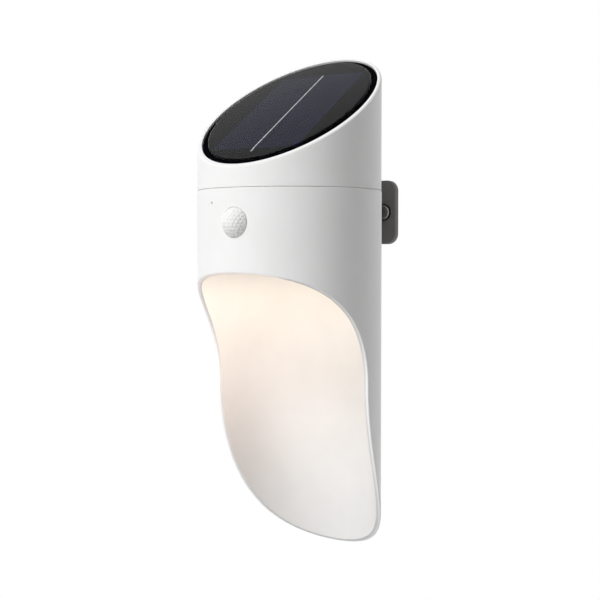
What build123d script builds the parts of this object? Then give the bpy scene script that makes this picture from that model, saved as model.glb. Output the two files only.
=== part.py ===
from build123d import *

import os
from math import cos, radians, sin, sqrt, tan

os.makedirs("parts", exist_ok=True)

# Frame: millimetres, +Z up, -Y to the front. The wall is the plane Y = 0, and the origin is the middle of
# the bracket's wall face.

# Bracket plate and the rail that the lamp hangs on
bracket_width = 72.0
bracket_height = 36.0
bracket_thickness = 3.5
bracket_corner = 6.0
bracket_edge_round = 0.8
rail_neck_width = 14.0
rail_neck_depth = 3.0
rail_head_width = 22.0
rail_head_depth = 2.2
rail_top = 1.5  # the lamp's weight rests here
rail_length = 18.0
rail_clearance = 0.3

# Wall screws
screw_spacing = 56.0
screw_shank_radius = 2.0
screw_neck_radius = 2.1
screw_hole_radius = 2.4
screw_head_radius = 4.1
screw_head_height = 2.6
screw_head_round = 1.0
screw_length = 12.0  # below the head
screw_tip_length = 4.0
screw_well_radius = 5.2
screw_well_depth = 2.0
cross_length = 4.8
cross_width = 0.9
cross_depth = 1.3

# Tube of the lamp
body_radius = 50.0
wall = 2.6
wall_gap = 2.5  # air between the bracket plate and the tube
seam_height = 10.5  # joint of head and housing, above the bracket's centre
seam_chamfer = 0.2
tongue_drop = 201.7  # from the seam down to the tip of the tongue

# Cut edge of the scoop, seen from the side: two curves that meet upright at the waist
opening_drop = 43.4  # from the seam down to the edge's start at the front
opening_slope = 16.5  # degrees below level
opening_reach = 29.0  # how far that slope pulls the upper curve
waist_drop = 102.4
waist_reach_up = 28.0
waist_reach_down = 43.0
tip_slope = 34.7  # degrees below level
tip_reach = 28.4
scoop_edge_round = 0.5
trim = 4.0  # how far cutting tools run past what they cut

# Hanging pad on the back of the tube
pad_width = 30.0
pad_floor = 2.4
pad_top = 4.8
pad_foot = 4.0  # pad below the end of the rail
pad_round = 1.5
pocket_side = 2.2  # wall beside the pocket where the rail comes out below the pad
pocket_clearance = 0.5

# Ceiling of the light bay
ceiling_drop = 37.5  # from the seam down to the ceiling
ceiling_thickness = 2.5
lamp_margin = 14.4  # from the tube's inner face to the lamp's flange, room for the button
window_ledge = 6.0  # width of the flange outside the window
window_clearance = 0.3
stake_inset = 2.8  # from the flange's edge
stake_count = 3
stake_radius = 1.2
stake_clearance = 0.2
stake_head_radius = 2.2
stake_head_height = 1.0

# Lamp stack
window_gasket_thickness = 0.8
diffuser_flange_thickness = 2.0
diffuser_wall = 2.0
diffuser_floor = 1.6
diffuser_proud = 1.0  # below the ceiling
diffuser_round = 0.8
lamp_board_thickness = 1.6
chip_count = 12
chip_ring_radius = 17.0
chip_width = 2.8
chip_length = 3.5
chip_height = 0.8

# Head
head_step = 0.2  # the head is this much slimmer than the tube
seam_groove_height = 0.4  # shadow line under the head
seam_groove_depth = 0.7
head_front_height = 10.7
slant = 34.2  # degrees
rim_round = 1.2
rim_inner_round = 0.4
spigot_depth = 5.0
spigot_wall = 2.2
spigot_root = 3.0
spigot_clearance = 0.2
seal_depth = 1.2
seal_height = 2.0
seal_clearance = 0.05

# Solar panel in the head, measured square to the slant
rim_width = 2.4  # white rim round the recess, seen from above
panel_clearance = 0.3
seat_width = 5.0
seat_thickness = 2.0
panel_gasket_thickness = 0.8
panel_gasket_width = 4.0
panel_board_thickness = 1.2
cover_sink = 1.1  # from the rim down to the board
cover_margin = 3.2  # black board seen between the recess and the cover
cover_edge_height = 0.3  # from the rim up to the dome's edge at the panel's ends
cover_dome_radius = 1500.0
cover_edge_round = 1.2
cell_side_margin = 20.0  # from the recess to the wafer's long sides
cell_end_margin = 17.2  # from the recess to the wafer's ends
cell_thickness = 0.3
cell_clearance = 0.2
ribbon_width = 1.2
ribbon_end_margin = 0.3  # from the ribbon's ends to the wafer's
ribbon_thickness = 0.2

# Screw posts between housing and head
post_angles = (60.0, 120.0, 240.0, 300.0)  # degrees from the front
post_inset = 3.9  # from the tube's inner face
post_radius = 4.4
post_cap = 3.0
boss_height = 13.0
tie_radius = 1.4
tie_length = 12.0
tie_head_radius = 2.6
tie_head_height = 2.2
tie_clearance = 0.3
pilot_clearance = 0.05

# Chassis deck over the lamp
deck_lift = 7.0  # above the ceiling's upper face
deck_thickness = 2.0
deck_clearance = 0.5
pillar_inset = 7.9  # from the tube's inner face
pillar_radius = 3.0
rest_angles = (42.0, 318.0)  # plain pillars, degrees from the front
fixing_gap = 0.5  # from the cradle to the heads of the deck's screws
deck_screw_radius = 1.1
deck_screw_length = 7.0
deck_screw_head_radius = 2.2
deck_screw_head_height = 1.6

# Motion sensor
sensor_drop = 17.7  # from the seam down to the dome's centre
lens_radius = 7.8
lens_clearance = 0.15
lens_height = 4.8
lens_skin = 0.8
lens_base_inset = 0.2  # the dome starts this far inside the tube's front
lens_flange_radius = 10.2
lens_flange_thickness = 1.2
lens_boss_radius = 11.5
lens_seat_depth = 2.9  # from the tube's inner face to the lens seat
collar_radius = 9.4
collar_bore = 6.2
collar_length = 10.3
can_radius = 4.55
can_height = 4.2
can_base_radius = 5.1
can_base_height = 0.6

# Pinhole with its light pipe
pin_drop = 7.3  # from the seam
pin_side = -16.3
pin_radius = 0.6
pin_clearance = 0.1
pin_inset = 0.3
pipe_radius = 1.6
pipe_gap = 0.3

# Control board, upright behind the sensor
board_width = 54.0
board_height = 22.0
board_thickness = 1.6
board_clearance = 0.15
guide_width = 4.6
guide_depth = 6.0
guide_height = 16.0
guide_overlap = 2.0
notch_clearance = 0.6

# Parts on the control board
light_sensor_width = 2.0
light_sensor_height = 0.8
chip_drop = -4.0  # the row of large parts, below the board's middle
driver_width = 6.0
driver_height = 5.0
driver_depth = 1.6
coil_side = 13.0
coil_radius = 3.5
coil_depth = 4.0
capacitor_radius = 3.2
capacitor_depth = 7.0
plug_places = (-18.0, -6.0, 6.0, 18.0)  # panel, battery, lamp and switch
plug_rise = 6.0
plug_width = 8.0
plug_height = 5.0
plug_depth = 6.0

# Battery
battery_offset = -2.0  # in front of the tube's axis
battery_radius = 9.2
battery_length = 65.0
nub_radius = 2.9
nub_height = 1.0
cradle_floor = 0.8
cradle_wall = 1.6
cradle_height = 11.0
cradle_end = 2.0
cradle_end_height = 16.0
cradle_clearance = 0.3
contact_thickness = 0.5
contact_width = 12.0
contact_height = 12.0
contact_bump_radius = 2.5
contact_bump = 0.65
contact_gap = 0.05

# Mode button in the ceiling
button_inset = 9.0  # from the tube's inner face
button_radius = 3.8
button_clearance = 0.3
button_proud = 1.6
button_round = 0.7
button_travel = 1.0
button_flange_radius = 5.2
button_flange_thickness = 1.0
button_rest_gap = 0.2
seal_ring_radius = 5.4
seal_ring_thickness = 0.8
stem_radius = 1.5
stem_entry = 0.6
switch_gap = 0.4
switch_width = 6.0
switch_board_width = 12.0
switch_board_depth = 9.0
switch_board_thickness = 1.2

# Wires
wire_radius = 0.55
wire_pitch = 2.2
wire_hole_clearance = 0.5
plug_run = 6.0  # straight run into a connector
lamp_wire_gap = 4.5  # in front of the cradle
switch_wire_side = 4.0
switch_wire_inset = 11.4  # from the tube's inner face
panel_wire_offset = 18.0  # down the slope from the panel's middle
panel_wire_drop = 10.0  # straight run under the panel
battery_wire_rise = 8.0  # above the contacts

# Derived places
axis_y = -(bracket_thickness + wall_gap + body_radius)
inner_radius = body_radius - wall
ceiling = seam_height - ceiling_drop
bay_floor = ceiling + ceiling_thickness
post_top = seam_height - spigot_depth
deck_bottom = bay_floor + deck_lift
deck_top = deck_bottom + deck_thickness
sensor_height = seam_height - sensor_drop
lens_seat = inner_radius - lens_seat_depth
board_front = lens_seat - lens_flange_thickness - collar_length
board_back = board_front - board_thickness
lamp_flange_radius = inner_radius - lamp_margin
window_radius = lamp_flange_radius - window_ledge
stake_circle = lamp_flange_radius - stake_inset
post_circle = inner_radius - post_inset
button_offset = inner_radius - button_inset
switch_wire_offset = inner_radius - switch_wire_inset
cradle_width = 2 * (battery_radius + cradle_clearance + cradle_wall)
lamp_wire_offset = battery_offset - cradle_width / 2 - lamp_wire_gap
pillar_circle = inner_radius - pillar_inset
fixing_offset = battery_offset + cradle_width / 2 + fixing_gap + deck_screw_head_radius
fixing_side = sqrt(pillar_circle**2 - fixing_offset**2)
fixing_places = [(-fixing_side, fixing_offset), (fixing_side, fixing_offset)]


def level(height):
    """Level sketch plane on the tube's axis: X to the side, Y towards the wall."""
    return Plane(origin=(0, axis_y, height), x_dir=(1, 0, 0), z_dir=(0, 0, 1))


def facing(depth, height):
    """Upright sketch plane this far in front of the tube's axis, facing the front."""
    return Plane(origin=(0, axis_y - depth, height), x_dir=(1, 0, 0), z_dir=(0, -1, 0))


def around(angles, radius):
    """Places on a circle round the tube's axis, by their angle from the front."""
    return [(radius * sin(radians(angle)), -radius * cos(radians(angle))) for angle in angles]


def side(offset, height):
    """Point in the side view: offset from the tube's axis towards the wall, and height."""
    return Vector(axis_y + offset, height)


def save(name, piece):
    piece.part.label = name
    export_step(piece.part, f"parts/{name}.step")


# Slanted rim plane, with its Y running up the slope towards the wall
head_radius = body_radius - head_step
rim_middle = seam_height + head_front_height + head_radius * tan(radians(slant))
rim = Plane(
    origin=(0, axis_y, rim_middle),
    x_dir=(1, 0, 0),
    z_dir=(0, -sin(radians(slant)), cos(radians(slant))),
)
rim_axis = Axis(rim.origin, rim.z_dir)
slope_stretch = 1 / cos(radians(slant))
panel_radius = head_radius - rim_width
cell_width = 2 * (panel_radius - cell_side_margin)
cell_length = 2 * (panel_radius * slope_stretch - cell_end_margin)
ribbon_length = cell_length - 2 * ribbon_end_margin
recess_depth = cover_sink + panel_board_thickness + panel_gasket_thickness
head_span = head_front_height + 2 * head_radius * tan(radians(slant))

# Wall bracket: rounded plate with screw wells and a T-shaped rail
rail_middle = rail_top - rail_length / 2
rail_neck_end = bracket_thickness + rail_neck_depth
with BuildPart() as wall_bracket:
    with BuildSketch(Plane.XZ):
        RectangleRounded(bracket_width, bracket_height, bracket_corner)
    extrude(amount=bracket_thickness)
    fillet(wall_bracket.faces().sort_by(Axis.Y)[0].edges(), bracket_edge_round)
    with Locations(Plane.XZ.offset(bracket_thickness)):
        with GridLocations(screw_spacing, 0, 2, 1):
            CounterBoreHole(screw_hole_radius, screw_well_radius, screw_well_depth)
    with BuildSketch(Plane.XZ.offset(bracket_thickness)):
        with Locations((0, rail_middle)):
            Rectangle(rail_neck_width, rail_length)
    extrude(amount=rail_neck_depth)
    with BuildSketch(Plane.XZ.offset(rail_neck_end)):
        with Locations((0, rail_middle)):
            Rectangle(rail_head_width, rail_length)
    extrude(amount=rail_head_depth)
save("wall_bracket", wall_bracket)

# Wall screws: pan heads seated in the wells, shanks standing out into the wall
well_floor = bracket_thickness - screw_well_depth
screw_reach = screw_length - well_floor  # into the wall
with BuildPart() as wall_screws:
    with BuildSketch(Plane.XZ.offset(well_floor)):
        with GridLocations(screw_spacing, 0, 2, 1):
            Circle(screw_head_radius)
    extrude(amount=screw_head_height)
    fillet(wall_screws.edges().group_by(Axis.Y)[0], screw_head_round)
    with BuildSketch(Plane.XZ.offset(well_floor + screw_head_height)):
        with GridLocations(screw_spacing, 0, 2, 1):
            Rectangle(cross_length, cross_width)
            Rectangle(cross_width, cross_length)
    extrude(amount=-cross_depth, mode=Mode.SUBTRACT)
    with BuildSketch(Plane.XZ):
        with GridLocations(screw_spacing, 0, 2, 1):
            Circle(screw_neck_radius)
    extrude(amount=well_floor)
    with BuildSketch(Plane.XZ):
        with GridLocations(screw_spacing, 0, 2, 1):
            Circle(screw_shank_radius)
    extrude(amount=-(screw_reach - screw_tip_length))
    with Locations(Plane.XZ.offset(-(screw_reach - screw_tip_length))):
        with GridLocations(screw_spacing, 0, 2, 1):
            Cone(
                screw_shank_radius,
                screw_shank_radius / 4,
                screw_tip_length,
                rotation=(180, 0, 0),
                align=(Align.CENTER, Align.CENTER, Align.MIN),
            )
save("wall_screws", wall_screws)

# Main housing: tube with the scoop, the ceiling of the light bay and the hanging pad
edge_front = side(-body_radius, seam_height - opening_drop)
edge_waist = side(0, seam_height - waist_drop)
edge_tip = side(body_radius, seam_height - tongue_drop)
front_fall = Vector(cos(radians(opening_slope)), -sin(radians(opening_slope)))
tip_fall = Vector(cos(radians(tip_slope)), -sin(radians(tip_slope)))
edge_start = edge_front - front_fall * trim
edge_end = edge_tip + tip_fall * trim
below_tip = seam_height - tongue_drop - body_radius
pad_face = bracket_thickness + rail_clearance
slot_lip = rail_neck_end - rail_clearance
slot_end = rail_neck_end + rail_head_depth + rail_clearance
pad_end = slot_end + pad_floor
pad_bottom = rail_top - rail_length - pad_foot
slot_width = rail_head_width + 2 * rail_clearance
pocket_bottom = pad_bottom - rail_length - pocket_clearance
board_floor = bay_floor + window_gasket_thickness + diffuser_flange_thickness
stake_seat = board_floor + lamp_board_thickness
pin_height = seam_height - pin_drop
tie_seat = post_top - post_cap
with BuildPart() as main_housing:
    with BuildSketch(level(seam_height)):
        Circle(body_radius)
    extrude(amount=-(tongue_drop + trim))
    with BuildSketch(Plane.XY.offset(pad_bottom)):
        with Locations((0, -(pad_face + pad_end) / 2)):
            Rectangle(pad_width, pad_end - pad_face)
    extrude(amount=pad_top - pad_bottom)
    fillet(main_housing.edges().filter_by(Axis.Z).group_by(Axis.Y)[-1], pad_round)
    with BuildSketch(level(seam_height)):
        Circle(inner_radius)
    extrude(amount=-(tongue_drop + trim), mode=Mode.SUBTRACT)
    with BuildSketch(Plane.XY.offset(pad_bottom)):
        with Locations((0, -(pad_face + pad_end) / 2)):
            Rectangle(pad_width - 2 * pad_round, pad_end - pad_face)
    extrude(amount=pad_top - pad_bottom)
    with BuildSketch(Plane.XY.offset(pocket_bottom - pad_floor)):
        with Locations((0, -pad_end)):
            Rectangle(slot_width + 2 * pocket_side, pad_end, align=(Align.CENTER, Align.MIN))
        with Locations((0, axis_y)):
            Circle(inner_radius + wall / 2, mode=Mode.INTERSECT)
    extrude(amount=pad_bottom - pocket_bottom + pad_floor)
    with BuildSketch(Plane.YZ):
        with BuildLine():
            Line(edge_start, edge_front)
            Bezier(
                edge_front,
                edge_front + front_fall * opening_reach,
                edge_waist + Vector(0, waist_reach_up),
                edge_waist,
            )
            Bezier(
                edge_waist,
                edge_waist - Vector(0, waist_reach_down),
                edge_tip - tip_fall * tip_reach,
                edge_tip,
            )
            Polyline(
                edge_tip,
                edge_end,
                (edge_end.X, below_tip),
                (edge_start.X, below_tip),
                edge_start,
            )
        make_face()
    extrude(amount=body_radius + trim, both=True, mode=Mode.SUBTRACT)
    scoop_faces = main_housing.faces().filter_by(GeomType.EXTRUSION)
    fillet(scoop_faces.edges(), scoop_edge_round)
    with BuildSketch(level(ceiling)):
        Circle(inner_radius + wall / 2)
    extrude(amount=ceiling_thickness)
    with BuildSketch(level(ceiling)):
        with Locations(around(post_angles, post_circle)):
            Circle(post_radius)
    extrude(amount=post_top - ceiling)
    with BuildSketch(level(ceiling)):
        with Locations(around(rest_angles, pillar_circle), fixing_places):
            Circle(pillar_radius)
    extrude(amount=deck_bottom - ceiling)
    with BuildSketch(level(bay_floor)):
        with PolarLocations(stake_circle, stake_count):
            Circle(stake_radius)
    extrude(amount=stake_seat - bay_floor)
    with BuildSketch(level(stake_seat)):
        with PolarLocations(stake_circle, stake_count):
            Circle(stake_head_radius)
    extrude(amount=stake_head_height)
    with BuildSketch(facing(lens_seat, sensor_height)):
        Circle(lens_boss_radius)
    extrude(amount=lens_seat_depth + wall / 4)
    with BuildSketch(level(ceiling)):
        Circle(window_radius + window_clearance)
        with Locations((0, button_offset)):
            Circle(button_radius + button_clearance)
    extrude(amount=ceiling_thickness, mode=Mode.SUBTRACT)
    with BuildSketch(level(ceiling)):
        with Locations(around(post_angles, post_circle)):
            Circle(tie_head_radius + tie_clearance)
    extrude(amount=tie_seat - ceiling, mode=Mode.SUBTRACT)
    with BuildSketch(level(tie_seat)):
        with Locations(around(post_angles, post_circle)):
            Circle(tie_radius + tie_clearance)
    extrude(amount=post_cap, mode=Mode.SUBTRACT)
    with BuildSketch(level(deck_bottom)):
        with Locations(fixing_places):
            Circle(deck_screw_radius + pilot_clearance)
    extrude(amount=-deck_screw_length, mode=Mode.SUBTRACT)
    with BuildSketch(facing(lens_seat, sensor_height)):
        Circle(lens_radius + lens_clearance)
    extrude(amount=body_radius, mode=Mode.SUBTRACT)
    with BuildSketch(facing(board_front, pin_height)):
        with Locations((pin_side, 0)):
            Circle(pin_radius + pin_clearance)
    extrude(amount=body_radius, mode=Mode.SUBTRACT)
    with BuildSketch(Plane.XY.offset(pad_bottom)):
        with Locations((0, -(pad_face + slot_lip) / 2)):
            Rectangle(rail_neck_width + 2 * rail_clearance, slot_lip - pad_face)
        with Locations((0, -(slot_lip + slot_end) / 2)):
            Rectangle(slot_width, slot_end - slot_lip)
    extrude(amount=rail_top - pad_bottom, mode=Mode.SUBTRACT)
    with BuildSketch(Plane.XY.offset(pocket_bottom)):
        with Locations((0, -slot_end)):
            Rectangle(slot_width, slot_end, align=(Align.CENTER, Align.MIN))
    extrude(amount=pad_bottom - pocket_bottom, mode=Mode.SUBTRACT)
    chamfer(main_housing.edges().group_by(Axis.Z)[-1].sort_by(SortBy.LENGTH)[-1], seam_chamfer)
save("main_housing", main_housing)

# Solar head: slanted cap with the panel recess, a spigot into the tube and bosses for the screws
head_bore = head_radius - wall
spigot_radius = inner_radius - spigot_clearance
spigot_bore = spigot_radius - spigot_wall
seal_bottom = seam_height - (spigot_depth + seal_height) / 2
with BuildPart() as head_core:
    with BuildSketch(level(seam_height)):
        Circle(head_bore)
    extrude(amount=head_span)
    split(bisect_by=rim.offset(-(recess_depth + seat_thickness)), keep=Keep.BOTTOM)
with BuildPart() as solar_head:
    with BuildSketch(level(seam_height)):
        Circle(head_radius)
    extrude(amount=head_span + trim)
    split(bisect_by=rim, keep=Keep.BOTTOM)
    fillet(solar_head.faces().sort_by(rim_axis)[-1].edges(), rim_round)
    with BuildSketch(level(seam_height)):
        Circle(head_radius + trim)
        Circle(head_radius - seam_groove_depth, mode=Mode.SUBTRACT)
    extrude(amount=seam_groove_height, mode=Mode.SUBTRACT)
    with BuildSketch(rim):
        Ellipse(panel_radius, panel_radius * slope_stretch)
    extrude(amount=-recess_depth, mode=Mode.SUBTRACT)
    fillet(solar_head.faces().sort_by(rim_axis)[-1].inner_wires().edges(), rim_inner_round)
    add(head_core.part, mode=Mode.SUBTRACT)
    with BuildSketch(rim):
        Ellipse(panel_radius - seat_width, panel_radius * slope_stretch - seat_width)
    extrude(amount=-(recess_depth + seat_thickness), mode=Mode.SUBTRACT)
    with BuildSketch(level(seam_height)):
        Circle(head_bore + wall / 2)
        Circle(spigot_bore, mode=Mode.SUBTRACT)
    extrude(amount=spigot_root)
    with BuildSketch(level(post_top)):
        Circle(spigot_radius)
        Circle(spigot_bore, mode=Mode.SUBTRACT)
    extrude(amount=spigot_depth)
    with BuildSketch(level(post_top)):
        with Locations(around(post_angles, post_circle)):
            Circle(spigot_radius - post_circle)
    extrude(amount=boss_height)
    with BuildSketch(level(post_top)):
        with Locations(around(post_angles, post_circle)):
            Circle(tie_radius + pilot_clearance)
    extrude(amount=tie_length - post_cap + pilot_clearance, mode=Mode.SUBTRACT)
    with BuildSketch(level(seal_bottom)):
        Circle(spigot_radius)
        Circle(spigot_radius - seal_depth, mode=Mode.SUBTRACT)
    extrude(amount=seal_height, mode=Mode.SUBTRACT)
save("solar_head", solar_head)

# Seam seal: flat ring in the spigot's groove
with BuildPart() as seam_seal:
    with BuildSketch(level(seal_bottom)):
        Circle(inner_radius - seal_clearance)
        Circle(spigot_radius - seal_depth, mode=Mode.SUBTRACT)
    extrude(amount=seal_height)
save("seam_seal", seam_seal)

# Head screws: driven up through the posts from the light bay
with BuildPart() as head_screws:
    with BuildSketch(level(tie_seat)):
        with Locations(around(post_angles, post_circle)):
            Circle(tie_head_radius)
    extrude(amount=-tie_head_height)
    with BuildSketch(level(tie_seat)):
        with Locations(around(post_angles, post_circle)):
            Circle(tie_radius)
    extrude(amount=tie_length)
save("head_screws", head_screws)

# Solar panel, stacked on its seat in the head: gasket, board, wafer, ribbon and domed cover
gasket_floor = -recess_depth
panel_board_floor = gasket_floor + panel_gasket_thickness
cover_floor = -cover_sink
panel_width = panel_radius - panel_clearance
panel_length = panel_radius * slope_stretch - panel_clearance
cover_width = panel_radius - cover_margin
cover_length = panel_radius * slope_stretch - cover_margin
cover_drop = cover_dome_radius - sqrt(cover_dome_radius**2 - cover_length**2)
cover_crown = cover_edge_height + cover_drop
with BuildPart() as panel_gasket:
    with BuildSketch(rim.offset(gasket_floor)):
        Ellipse(panel_width, panel_length)
        Ellipse(panel_width - panel_gasket_width, panel_length - panel_gasket_width, mode=Mode.SUBTRACT)
    extrude(amount=panel_gasket_thickness)
save("panel_gasket", panel_gasket)

with BuildPart() as panel_board:
    with BuildSketch(rim.offset(panel_board_floor)):
        Ellipse(panel_width, panel_length)
    extrude(amount=panel_board_thickness)
save("panel_board", panel_board)

with BuildPart() as solar_cell:
    with BuildSketch(rim.offset(cover_floor)):
        Rectangle(cell_width, cell_length)
    extrude(amount=cell_thickness)
save("solar_cell", solar_cell)

with BuildPart() as cell_ribbon:
    with BuildSketch(rim.offset(cover_floor + cell_thickness)):
        Rectangle(ribbon_width, ribbon_length)
    extrude(amount=ribbon_thickness)
save("cell_ribbon", cell_ribbon)

with BuildPart() as panel_cover:
    with BuildSketch(rim.offset(cover_floor)):
        Ellipse(cover_width, cover_length)
    extrude(amount=cover_sink + cover_crown)
    with Locations(rim.offset(cover_crown - cover_dome_radius)):
        Sphere(cover_dome_radius, rotation=(90, 0, 0), mode=Mode.INTERSECT)
    fillet(panel_cover.faces().filter_by(GeomType.SPHERE).edges(), cover_edge_round)
    with BuildSketch(rim.offset(cover_floor)):
        Rectangle(cell_width + 2 * cell_clearance, cell_length + 2 * cell_clearance)
    extrude(amount=cell_thickness, mode=Mode.SUBTRACT)
    with BuildSketch(rim.offset(cover_floor)):
        Rectangle(ribbon_width + 2 * cell_clearance, ribbon_length + 2 * cell_clearance)
    extrude(amount=cell_thickness + ribbon_thickness, mode=Mode.SUBTRACT)
save("panel_cover", panel_cover)

# Motion sensor: domed lens through the tube's front, collar behind it, and the sensor can
lens_base = body_radius - lens_base_inset
with BuildPart() as pir_lens:
    with BuildSketch(Plane.XY.offset(sensor_height)):
        with BuildLine():
            rear = axis_y - lens_seat + lens_flange_thickness
            seat = axis_y - lens_seat
            base = axis_y - lens_base
            bore = lens_radius - lens_skin
            Polyline((bore, base), (bore, rear), (lens_flange_radius, rear), (lens_flange_radius, seat))
            Polyline((lens_flange_radius, seat), (lens_radius, seat), (lens_radius, base))
            outer_radius = (lens_radius**2 + lens_height**2) / (2 * lens_height)
            RadiusArc((lens_radius, base), (0, base - lens_height), outer_radius)
            inner_height = lens_height - lens_skin
            inner_round = (bore**2 + inner_height**2) / (2 * inner_height)
            Line((0, base - lens_height), (0, base - inner_height))
            RadiusArc((bore, base), (0, base - inner_height), inner_round)
        make_face()
    revolve(axis=Axis((0, 0, sensor_height), (0, 1, 0)))
save("pir_lens", pir_lens)

with BuildPart() as sensor_collar:
    with BuildSketch(facing(board_front, sensor_height)):
        Circle(collar_radius)
        Circle(collar_bore, mode=Mode.SUBTRACT)
    extrude(amount=collar_length)
save("sensor_collar", sensor_collar)

with BuildPart() as pir_sensor:
    with BuildSketch(facing(board_front, sensor_height)):
        Circle(can_base_radius)
    extrude(amount=can_base_height)
    with BuildSketch(facing(board_front + can_base_height, sensor_height)):
        Circle(can_radius)
    extrude(amount=can_height)
save("pir_sensor", pir_sensor)

# Light pipe: pin in the pinhole, with a thicker stem back to the light sensor on the board
pin_front = sqrt(body_radius**2 - pin_side**2) - pin_inset
stem_front = sqrt(inner_radius**2 - (abs(pin_side) + pipe_radius) ** 2)
stem_back = board_front + light_sensor_height + pipe_gap
with BuildPart() as light_pipe:
    with BuildSketch(facing(stem_back, pin_height)):
        with Locations((pin_side, 0)):
            Circle(pipe_radius)
    extrude(amount=stem_front - stem_back)
    with BuildSketch(facing(stem_front, pin_height)):
        with Locations((pin_side, 0)):
            Circle(pin_radius)
    extrude(amount=pin_front - stem_front)
save("light_pipe", light_pipe)

# Control board, standing on the deck between its guides
board_middle = deck_top + board_height / 2
with BuildPart() as control_board:
    with BuildSketch(facing(board_back, board_middle)):
        Rectangle(board_width, board_height)
    extrude(amount=board_thickness)
save("control_board", control_board)

# Parts on the control board: light sensor in front; chip, coil, capacitor and four connectors behind
with BuildPart() as board_parts:
    with BuildSketch(facing(board_front, pin_height)):
        with Locations((pin_side, 0)):
            Rectangle(light_sensor_width, light_sensor_width)
    extrude(amount=light_sensor_height)
    with BuildSketch(facing(board_back, board_middle)):
        with Locations((0, chip_drop)):
            Rectangle(driver_width, driver_height)
    extrude(amount=-driver_depth)
    with BuildSketch(facing(board_back, board_middle)):
        with Locations((-coil_side, chip_drop)):
            Circle(coil_radius)
    extrude(amount=-coil_depth)
    with BuildSketch(facing(board_back, board_middle)):
        with Locations((coil_side, chip_drop)):
            Circle(capacitor_radius)
    extrude(amount=-capacitor_depth)
    with BuildSketch(facing(board_back, board_middle)):
        with Locations(*[(place, plug_rise) for place in plug_places]):
            Rectangle(plug_width, plug_height)
    extrude(amount=-plug_depth)
save("board_parts", board_parts)

# Chassis deck: disc with notches for the posts, the pad and the sensor, and guides for the board
guide_middle = board_width / 2 - guide_overlap + guide_width / 2
with BuildPart() as inner_deck:
    with BuildSketch(level(deck_bottom)):
        Circle(inner_radius - deck_clearance)
        with Locations(around(post_angles, post_circle)):
            Circle(post_radius + deck_clearance, mode=Mode.SUBTRACT)
        with Locations((0, body_radius - (pad_end - bracket_thickness - wall_gap) - notch_clearance)):
            Rectangle(
                pad_width + 2 * notch_clearance,
                body_radius,
                align=(Align.CENTER, Align.MIN),
                mode=Mode.SUBTRACT,
            )
        with Locations((0, board_clearance - board_front)):
            Rectangle(
                2 * (lens_boss_radius + notch_clearance),
                body_radius,
                align=(Align.CENTER, Align.MAX),
                mode=Mode.SUBTRACT,
            )
        with Locations(fixing_places):
            Circle(deck_screw_radius + tie_clearance, mode=Mode.SUBTRACT)
        with Locations((plug_places[2], lamp_wire_offset), (switch_wire_side, switch_wire_offset)):
            SlotCenterToCenter(
                wire_pitch,
                2 * (wire_radius + wire_hole_clearance),
                mode=Mode.SUBTRACT,
            )
    extrude(amount=deck_thickness)
    with BuildSketch(level(deck_top)):
        with Locations((0, -(board_front + board_back) / 2)):
            with GridLocations(2 * guide_middle, 0, 2, 1):
                Rectangle(guide_width, guide_depth)
            Rectangle(
                board_width + 2 * board_clearance,
                board_thickness + 2 * board_clearance,
                mode=Mode.SUBTRACT,
            )
    extrude(amount=guide_height)
save("inner_deck", inner_deck)

with BuildPart() as deck_screws:
    with BuildSketch(level(deck_top)):
        with Locations(fixing_places):
            Circle(deck_screw_head_radius)
    extrude(amount=deck_screw_head_height)
    with BuildSketch(level(deck_top)):
        with Locations(fixing_places):
            Circle(deck_screw_radius)
    extrude(amount=-deck_screw_length)
save("deck_screws", deck_screws)

# Battery: round cell lying across the deck in a cradle, with a contact at each end
battery_axis = deck_top + cradle_floor + cradle_clearance + battery_radius
cell_y = axis_y + battery_offset
cradle_inside = battery_length + 2 * (contact_thickness + contact_bump + contact_gap)
across = Plane(origin=(0, cell_y, battery_axis), x_dir=(0, 1, 0), z_dir=(1, 0, 0))
cradle_drop = deck_top - battery_axis
with BuildPart() as battery_holder:
    with BuildSketch(across):
        with Locations((0, cradle_drop)):
            Rectangle(cradle_width, cradle_height, align=(Align.CENTER, Align.MIN))
        Circle(battery_radius + cradle_clearance, mode=Mode.SUBTRACT)
    extrude(amount=cradle_inside / 2, both=True)
    for end in (across.offset(cradle_inside / 2), across.offset(-cradle_inside / 2 - cradle_end)):
        with BuildSketch(end):
            with Locations((0, cradle_drop)):
                Rectangle(cradle_width, cradle_end_height, align=(Align.CENTER, Align.MIN))
        extrude(amount=cradle_end)
save("battery_holder", battery_holder)

with BuildPart() as battery_cell:
    with BuildSketch(across.offset(-battery_length / 2)):
        Circle(battery_radius)
    extrude(amount=battery_length - nub_height)
    with BuildSketch(across.offset(battery_length / 2 - nub_height)):
        Circle(nub_radius)
    extrude(amount=nub_height)
save("battery_cell", battery_cell)

with BuildPart() as battery_contacts:
    with BuildSketch(across.offset(cradle_inside / 2 - contact_thickness)):
        Rectangle(contact_width, contact_height)
    extrude(amount=contact_thickness)
    with BuildSketch(across.offset(cradle_inside / 2 - contact_thickness)):
        Circle(contact_bump_radius)
    extrude(amount=-contact_bump)
    mirror(about=across)
save("battery_contacts", battery_contacts)

# Lamp stack in the ceiling: gasket, diffuser, board and chips, held by the stakes
flange_floor = bay_floor + window_gasket_thickness
with BuildPart() as diffuser_gasket:
    with BuildSketch(level(bay_floor)):
        Circle(lamp_flange_radius)
        Circle(window_radius + window_clearance, mode=Mode.SUBTRACT)
        with PolarLocations(stake_circle, stake_count):
            Circle(stake_radius + stake_clearance, mode=Mode.SUBTRACT)
    extrude(amount=window_gasket_thickness)
save("diffuser_gasket", diffuser_gasket)

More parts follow.
